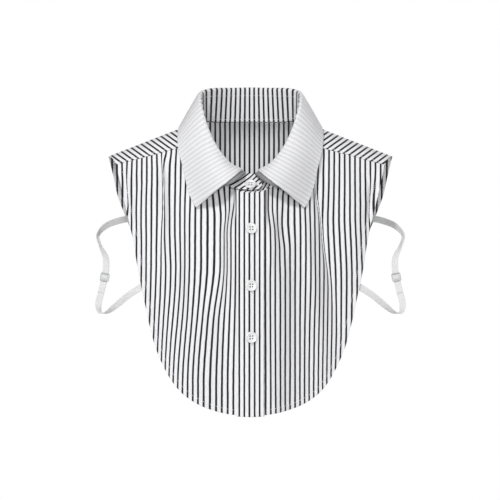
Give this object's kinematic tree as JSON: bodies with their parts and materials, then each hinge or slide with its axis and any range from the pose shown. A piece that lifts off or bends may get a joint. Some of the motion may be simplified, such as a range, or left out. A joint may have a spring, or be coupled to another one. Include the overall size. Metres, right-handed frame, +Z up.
{
  "type": "bib collar",
  "caption": "Striped false shirt front with pointed collar, buttoned placket, yoke, short back panel and elastic side straps, held as if worn.",
  "frame": {"origin": "middle of the neck opening at the neckline seam", "axes": "+Z up along the wearer's neck, front towards -Y, wearer's left towards +X"},
  "size_m": [0.3748, 0.2084, 0.398],
  "materials": {
    "striped_cloth": "matt woven cotton, white with dark grey stripes",
    "collar_cloth": "matt woven cotton, white with faint pale grey stripes",
    "elastic": "soft white knitted elastic",
    "button": "polished white",
    "slider": "milky white"
  },
  "bodies": {
    "root": {"front_right": "striped_cloth", "front_left": "striped_cloth", "placket": "striped_cloth", "yoke": "striped_cloth", "back_panel": "striped_cloth", "collar_stand": "striped_cloth", "collar_fall": "collar_cloth", "button_1": "button", "button_2": "button", "button_3": "button", "button_neck": "button", "strap_right": "elastic", "strap_tail_right": "elastic", "slider_right": "slider", "strap_left": "elastic", "strap_tail_left": "elastic", "slider_left": "slider"}
  },
  "joints": []
}
